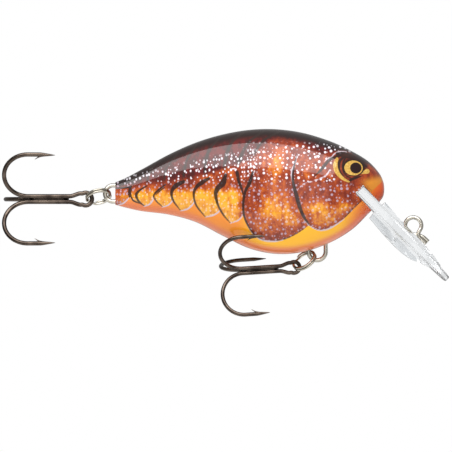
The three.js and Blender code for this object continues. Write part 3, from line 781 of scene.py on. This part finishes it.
def double_hook():
    """One wire: a hook, its shank, the eye, the other shank and the other hook."""
    left, right = hook_way(120), hook_way(-120)
    shank_y, shank_z = left[1] * SHANK_OFFSET, left[2] * SHANK_OFFSET
    r = HOOK_EYE_HALF_WIDTH - HOOK_RADIUS
    neck = [(HOOK_EYE_LENGTH + 1.2, shank_y), (HOOK_EYE_LENGTH + 0.4, shank_y + 0.06),
            (HOOK_EYE_LENGTH - 0.9, r * 0.86)]
    flat = neck + [tuple(p) for p in arc(r, 0, r, 60, 300, 14)] + [(a, -b) for a, b in reversed(neck)]
    eye = np.array([(a, b, shank_z * min(1, a / HOOK_EYE_LENGTH)) for a, b in flat])
    left_line, right_line = hook_line(left)[::-1], hook_line(right)
    shanks = [curve([left_line[-1], eye[0]], 12)[1:-1], curve([eye[-1], right_line[0]], 12)[1:-1]]
    line = np.concatenate([left_line, shanks[0], curve(eye, 110), shanks[1], right_line])
    line, at = resample(line, 0.16)
    wire = sweep(line, np.cross(left, [1, 0, 0]), point_radius(np.minimum(at, at[-1] - at)))
    return joined(wire, barb(left), barb(right))


def single_hook():
    """The third hook, whose shank lies between the other two."""
    way = hook_way(0)
    start = way * SHANK_OFFSET + np.array([HOOK_EYE_LENGTH + 1.0, 0, 0])
    line, at = resample(np.concatenate([[start], hook_line(way)]), 0.16)
    radius = point_radius(at[-1] - at) * np.clip(0.55 + at / 1.2, 0, 1)
    return joined(sweep(line, (0, 1, 0), radius), barb(way))


def braze():
    """The filler metal between the three shanks."""
    line = [(x, 0, 0) for x in np.linspace(HOOK_EYE_LENGTH + 1.3, HOOK_BEND_START - 0.2, 30)]
    radius = 0.42 * np.clip(np.minimum(np.arange(30), 29 - np.arange(30)) / 3, 0.35, 1)
    return sweep(line, (0, 1, 0), radius, 14)


def rearwards(fall):
    """Towards the tail, falling by an angle."""
    return np.array([-math.cos(math.radians(fall)), 0, -math.sin(math.radians(fall))])


def hang(prefix, loop, ring_fall, ring_lean, shank_fall, size, single_lean):
    """A split ring in its hanger loop, and the treble hung in it."""
    pull = rearwards(ring_fall)
    across = turned(np.array([0, 1.0, 0]), pull, ring_lean)
    near = np.array([loop[0], 0, loop[1]]) + pull * (loop[2] - HANGER_WIRE - HANGING_PLAY - RING_HALF_WIDTH)
    shank = rearwards(shank_fall)
    eye_end = near + pull * 2 * RING_RADIUS - shank * (RING_HALF_WIDTH + HANGING_PLAY + HOOK_RADIUS * size)
    lean = math.radians(single_lean)
    way = np.array([0, math.sin(lean), -math.cos(lean)])
    z = -unit(way - shank * np.dot(way, shank))
    y = np.cross(z, shank)

    def place(shape):
        points, faces = shape
        return eye_end + size * (points @ np.array([shank, y, z])), faces

    ring = make_object(f"{prefix}_ring", *split_ring(near, pull, across))
    finish_piece(ring, f"{prefix}_ring", f"{prefix}_split_ring", STEEL)
    for kind, shape in (("double_hook", double_hook()), ("single_hook", single_hook())):
        hook = make_object(f"{prefix}_treble_{kind}", *place(shape))
        finish_piece(hook, f"{prefix}_treble", f"{prefix}_{kind}", NICKEL)
    seam = make_object(f"{prefix}_treble_braze", *place(braze()))
    finish_piece(seam, f"{prefix}_treble", None, BRAZE)


# ---------------------------------------------------------------- lip
def lip_half_width(s):
    """Half the lip's width at distances along it: a flare, then a rounded end."""
    flare = LIP_ROOT_HALF_WIDTH + (LIP_HALF_WIDTH - LIP_ROOT_HALF_WIDTH) * blend_step(s, 7.0, 15.5)
    end = np.clip((s - 15.5) / (LIP_LENGTH - 15.5), 0, 1)
    return flare * np.clip(1 - end**2.3, 0, 1) ** 0.5


def lip_surface():
    """Top and bottom heights over a grid along the lip and across it, closed round the rim."""
    steps, half_cols = 190, 44
    s = LIP_LENGTH * (1 - (1 - np.linspace(0, 1, steps)) ** 1.5)
    s[-1] = LIP_LENGTH - 0.004
    v = np.sin(np.linspace(-np.pi / 2, np.pi / 2, 2 * half_cols + 1))
    width = lip_half_width(s)
    y = width[:, None] * v
    along = np.broadcast_to(s[:, None], y.shape)
    thin = 1 - np.clip((along - 12) / (LIP_LENGTH - 12), 0, 1) * (1 - LIP_TIP_THICKNESS / LIP_THICKNESS)
    to_rim = np.minimum(width[:, None] - np.abs(y), (LIP_LENGTH - along) * 0.9 + 0.02)
    to_rim = np.minimum(to_rim, along + 0.25)
    round_rim = np.sqrt(np.clip(1 - (1 - np.clip(to_rim / 0.35, 0, 1)) ** 2, 0, 1))
    blade = LIP_THICKNESS / 2 * thin * (0.35 + 0.65 * round_rim)
    spine = blend_step(1.8 - np.abs(y), 0.0, 0.45) * blend_step(along, 4.75, 4.95)
    under = np.interp(along, (4.9, 9, 12, 14, 16, 17.6, 20, 21.5),
                      (2.3, 2.62, 2.68, 2.58, 2.2, 1.4, 0.62, 0.0))
    over = np.interp(along, (4.9, 9, 13, 16, 18.5, 20.5, 21.5), (1.85, 1.6, 1.6, 1.5, 1.28, 0.9, 0.3))
    top = np.maximum(blade, over * spine)
    bottom = np.maximum(blade, under * spine)
    grid = np.arange(along.size).reshape(along.shape)
    points = []
    for height in (top, -bottom):
        points.append(LIP_ROOT + along.reshape(-1, 1) * LIP_ALONG + height.reshape(-1, 1) * LIP_UP
                      + y.reshape(-1, 1) * np.array([0, 1.0, 0]))
    faces = []
    shift = along.size
    for i in range(grid.shape[0] - 1):
        for j in range(grid.shape[1] - 1):
            a, b, c, d = grid[i, j], grid[i, j + 1], grid[i + 1, j + 1], grid[i + 1, j]
            faces.append((a, d, c, b))
            faces.append((a + shift, b + shift, c + shift, d + shift))
    rim = list(grid[0, ::-1]) + list(grid[1:, 0]) + list(grid[-1, 1:]) + list(grid[-2:0:-1, -1])
    for a, b in zip(rim, rim[1:] + rim[:1]):
        faces.append((a, b, b + shift, a + shift))
    return np.concatenate(points), faces


# ---------------------------------------------------------------- assembly
def finish_piece(obj, body, node, material):
    """Gives a piece its material and its body and, where it stands for a CAD node, hides that node."""
    obj.data.materials.clear()
    obj.data.materials.append(material)
    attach(obj, body)
    if node:
        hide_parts(node)


PAINT = body_paint()
CLEAR = lip_plastic()
STEEL = wire_metal("bright_nickel_wire", "aba598", "dbd6ca", 0.2)
NICKEL = wire_metal("black_nickel_wire", "3b332e", "63584f", 0.22)
BRAZE = braze_metal()
SLOT_WALL = inner_material("glued_slot_wall", "d4d4d2", "e6e6e4", 0.0, 0.5)

harness_points = harness_line()
channel = make_object("channel", *sweep(harness_points, (0, 1, 0), HARNESS_RADIUS + CHANNEL_CLEARANCE, 16))
slot_tool = slot_cutter()
for body_name, body_side in (("body_left_half", 1), ("body_right_half", -1)):
    half = body_half(f"{body_name}_painted", body_side)
    cut(half, slot_tool, channel)
    sharp_edges(half)
    store_fields(half)
    finish_piece(half, "lure_body", body_name, PAINT)
    half.data.materials.append(SLOT_WALL)
    slot_faces(half)
for tool in (channel, slot_tool):
    bpy.data.objects.remove(tool)

lip = make_object("diving_lip_moulding", *lip_surface())
sharp_edges(lip, 50)
finish_piece(lip, "lure_body", "diving_lip", CLEAR)
tie = make_object("line_tie_wire", *sweep(tie_line(), (0, 1, 0), TIE_WIRE_RADIUS))
finish_piece(tie, "lure_body", "line_tie", STEEL)
harness = make_object("through_wire", *sweep(harness_points, (0, 1, 0), HARNESS_RADIUS))
finish_piece(harness, "lure_body", "wire_harness", STEEL)
hang("tail", TAIL_LOOP, 12, RING_TILT, 0, 1.0, 90)
hang("belly", BELLY_LOOP, 35, -RING_TILT, 3.6, 0.9, 103)


def give(node, material):
    """Puts a material on a CAD node that is kept as it is."""
    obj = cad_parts[node]
    for place in obj.material_slots:
        place.material = material


give("ballast_weight", inner_material("cast_lead", "5d6064", "7b7f84", 1.0, 0.6))
capsule = inner_material("capsule_plastic", "d0cab8", "ded9ca", 0.0, 0.35)
for node in ("rattle_tube", "rattle_plug_front", "rattle_plug_rear"):
    give(node, capsule)
for index in (1, 2, 3):
    give(f"rattle_ball_{index}", STEEL)


# ---------------------------------------------------------------- stage, lights and camera
VIEW_CENTRE = (20.56, 0, -6.14)  # millimetres from the tail
FLOOR_RADIUS = 0.13
FLOOR_DROP = 0.034
SURROUND_LIGHT = 0.36
SEEN_THROUGH_LIP = 0.85
FRAME_WIDTH = 0.08405
SENSOR_WIDTH = 36
DISTANCE = 1.0


def add_light(name, place, aim, size, power):
    data = bpy.data.lights.new(name, "AREA")
    data.shape = "RECTANGLE"
    data.size, data.size_y = size
    data.energy = power
    obj = bpy.data.objects.new(name, data)
    bpy.context.scene.collection.objects.link(obj)
    obj.location = place
    obj.rotation_euler = (Vector(aim) - Vector(place)).to_track_quat("-Z", "Y").to_euler()


centre = put([VIEW_CENTRE])[0]
floor_z = CAD_BOX[0][2] - FLOOR_DROP
around = [2 * math.pi * k / 96 for k in range(96)]
rim = [(centre[0] + FLOOR_RADIUS * math.cos(a), FLOOR_RADIUS * math.sin(a), floor_z) for a in around]
floor_mesh = bpy.data.meshes.new("floor")
floor_mesh.from_pydata(rim, [], [tuple(range(len(rim)))])
floor = bpy.data.objects.new("floor", floor_mesh)
bpy.context.scene.collection.objects.link(floor)
paper = Material("pale_paper", Roughness=0.9)
paper.into("Base Color", paper.mix(paper.noise(0.05, 3.0), rgb("f7f7f7"), rgb("fbfbfb")))
floor_mesh.materials.append(paper.material)

add_light("overhead_softbox", (centre[0] - 0.03, -0.16, 0.19), (centre[0] - 0.01, 0, 0), (0.34, 0.22), 1.05)
add_light("front_fill", (centre[0] + 0.05, -0.7, -0.05), tuple(centre), (0.4, 0.4), 0.5)

# white where the camera sees it, a little darker through the lip, and dimmer as a light
world = bpy.data.worlds.new("studio")
world.use_nodes = True
nodes, links = world.node_tree.nodes, world.node_tree.links
sky = nodes["Background"]
sky.inputs[0].default_value = (1, 1, 1, 1)
path = nodes.new("ShaderNodeLightPath")
through = nodes.new("ShaderNodeMath")
through.operation = "MULTIPLY"
through.inputs[1].default_value = SEEN_THROUGH_LIP
seen = nodes.new("ShaderNodeMath")
seen.operation = "MAXIMUM"
level = nodes.new("ShaderNodeMapRange")
level.inputs["To Min"].default_value = SURROUND_LIGHT
links.new(path.outputs["Is Transmission Ray"], through.inputs[0])
links.new(path.outputs["Is Camera Ray"], seen.inputs[0])
links.new(through.outputs[0], seen.inputs[1])
links.new(seen.outputs[0], level.inputs[0])
links.new(level.outputs[0], sky.inputs[1])
bpy.context.scene.world = world
bpy.context.scene.view_settings.view_transform = "Standard"

camera_data = bpy.data.cameras.new("camera")
camera_data.sensor_width = SENSOR_WIDTH
camera_data.lens = SENSOR_WIDTH * DISTANCE / FRAME_WIDTH
camera_data.clip_end = 20
camera = bpy.data.objects.new("camera", camera_data)
bpy.context.scene.collection.objects.link(camera)
camera.location = (centre[0], -DISTANCE, centre[2])
camera.rotation_euler = (math.pi / 2, 0, 0)
bpy.context.scene.camera = camera
